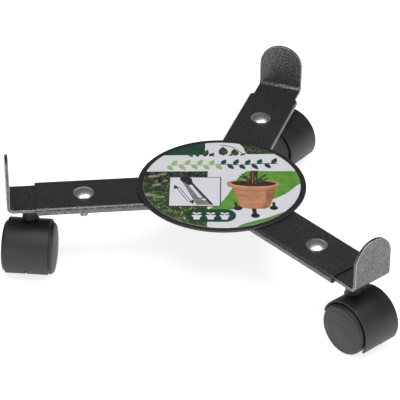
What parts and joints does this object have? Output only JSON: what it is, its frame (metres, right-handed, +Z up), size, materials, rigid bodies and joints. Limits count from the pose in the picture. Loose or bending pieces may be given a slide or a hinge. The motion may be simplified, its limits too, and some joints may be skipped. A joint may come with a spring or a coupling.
{
  "type": "plant pot caddy",
  "caption": "Low wheeled stand for a plant pot: a round hub with sliding arms, each with an upturned end and a swivelling twin-wheel castor.",
  "frame": {"origin": "centre of the hub disc's top face, where the pot's base rests", "axes": "+Z up, -X along the left arm, the back arm 66 degrees from +X towards +Y, the front arm 55.5 degrees from +X towards -Y"},
  "size_m": [0.2861, 0.3139, 0.0967],
  "materials": {
    "black_paint": "hammertone charcoal stove enamel on steel, satin, lightly worn at folds",
    "zinc_steel": "bright zinc plate",
    "spring_steel": "plain drawn steel",
    "black_plastic": "moulded nylon, fine matte texture",
    "printed_label": null
  },
  "bodies": {
    "frame": {"hub_disc": "black_paint", "hub_label": "printed_label", "hub_welds": "black_paint", "channel_left": "black_paint", "clamp_bolt_left": "zinc_steel", "clamp_washer_left": "zinc_steel", "clamp_nut_left": "zinc_steel", "channel_back": "black_paint", "clamp_bolt_back": "zinc_steel", "clamp_washer_back": "zinc_steel", "clamp_nut_back": "zinc_steel", "channel_front": "black_paint", "clamp_bolt_front": "zinc_steel", "clamp_washer_front": "zinc_steel", "clamp_nut_front": "zinc_steel"},
    "slide_left": {"slide_left": "black_paint", "castor_pin_left": "zinc_steel", "castor_clip_left": "spring_steel"},
    "castor_left": {"castor_hood_left": "black_plastic", "castor_axle_left": "spring_steel"},
    "wheel_left_a": {"castor_wheel_left_a": "black_plastic"},
    "wheel_left_b": {"castor_wheel_left_b": "black_plastic"},
    "slide_back": {"slide_back": "black_paint", "castor_pin_back": "zinc_steel", "castor_clip_back": "spring_steel"},
    "castor_back": {"castor_hood_back": "black_plastic", "castor_axle_back": "spring_steel"},
    "wheel_back_a": {"castor_wheel_back_a": "black_plastic"},
    "wheel_back_b": {"castor_wheel_back_b": "black_plastic"},
    "slide_front": {"slide_front": "black_paint", "castor_pin_front": "zinc_steel", "castor_clip_front": "spring_steel"},
    "castor_front": {"castor_hood_front": "black_plastic", "castor_axle_front": "spring_steel"},
    "wheel_front_a": {"castor_wheel_front_a": "black_plastic"},
    "wheel_front_b": {"castor_wheel_front_b": "black_plastic"}
  },
  "joints": [
    {"name": "slide_out_left", "type": "slide", "parent": "frame", "child": "slide_left", "axis": [-1, 0, 0], "range_m": [0, 0.05]},
    {"name": "swivel_left", "type": "hinge", "parent": "slide_left", "child": "castor_left", "pos_m": [-0.1471, 0, -0.0017], "axis": [0, 0, 1], "continuous": true},
    {"name": "spin_left_a", "type": "hinge", "parent": "castor_left", "child": "wheel_left_a", "pos_m": [-0.14871, -0.00784, -0.043], "axis": [0.9796, -0.2011, 0], "continuous": true},
    {"name": "spin_left_b", "type": "hinge", "parent": "castor_left", "child": "wheel_left_b", "pos_m": [-0.14871, -0.00784, -0.043], "axis": [0.9796, -0.2011, 0], "continuous": true},
    {"name": "slide_out_back", "type": "slide", "parent": "frame", "child": "slide_back", "axis": [0.4067, 0.9135, 0], "range_m": [0, 0.05]},
    {"name": "swivel_back", "type": "hinge", "parent": "slide_back", "child": "castor_back", "pos_m": [0.05983, 0.13438, -0.0017], "axis": [0, 0, 1], "continuous": true},
    {"name": "spin_back_a", "type": "hinge", "parent": "castor_back", "child": "wheel_back_a", "pos_m": [0.06553, 0.12876, -0.043], "axis": [0.7022, 0.712, 0], "continuous": true},
    {"name": "spin_back_b", "type": "hinge", "parent": "castor_back", "child": "wheel_back_b", "pos_m": [0.06553, 0.12876, -0.043], "axis": [0.7022, 0.712, 0], "continuous": true},
    {"name": "slide_out_front", "type": "slide", "parent": "frame", "child": "slide_front", "axis": [0.5664, -0.8241, 0], "range_m": [0, 0.05]},
    {"name": "swivel_front", "type": "hinge", "parent": "slide_front", "child": "castor_front", "pos_m": [0.08332, -0.12123, -0.0017], "axis": [0, 0, 1], "continuous": true},
    {"name": "spin_front_a", "type": "hinge", "parent": "castor_front", "child": "wheel_front_a", "pos_m": [0.08797, -0.12773, -0.043], "axis": [0.8131, 0.5821, 0], "continuous": true},
    {"name": "spin_front_b", "type": "hinge", "parent": "castor_front", "child": "wheel_front_b", "pos_m": [0.08797, -0.12773, -0.043], "axis": [0.8131, 0.5821, 0], "continuous": true}
  ]
}
